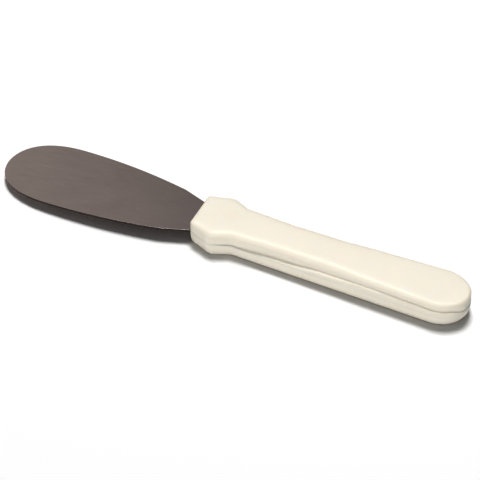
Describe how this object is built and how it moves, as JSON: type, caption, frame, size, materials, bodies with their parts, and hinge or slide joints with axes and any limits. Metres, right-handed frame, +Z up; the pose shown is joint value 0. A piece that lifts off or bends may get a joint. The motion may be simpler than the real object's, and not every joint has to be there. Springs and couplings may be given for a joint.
{
  "type": "bone folder",
  "caption": "Hand tool for creasing and smoothing card: a thin rounded steel blade fixed in a slim moulded handle.",
  "frame": {"origin": "under the middle of the tool, on the plane the handle rests on", "axes": "+X along the tool from the blade's tip to the handle's butt, +Y across it, +Z up"},
  "size_m": [0.197, 0.0338, 0.011],
  "materials": {
    "satin_steel": "satin, fine brushing",
    "cream_plastic": "smooth moulded, soft sheen",
    "pin_steel": "plain drawn rod"
  },
  "bodies": {
    "root": {"blade": "satin_steel", "upper_handle_half": "cream_plastic", "lower_handle_half": "cream_plastic", "front_tang_pin": "pin_steel", "middle_tang_pin": "pin_steel", "rear_tang_pin": "pin_steel"}
  },
  "joints": []
}
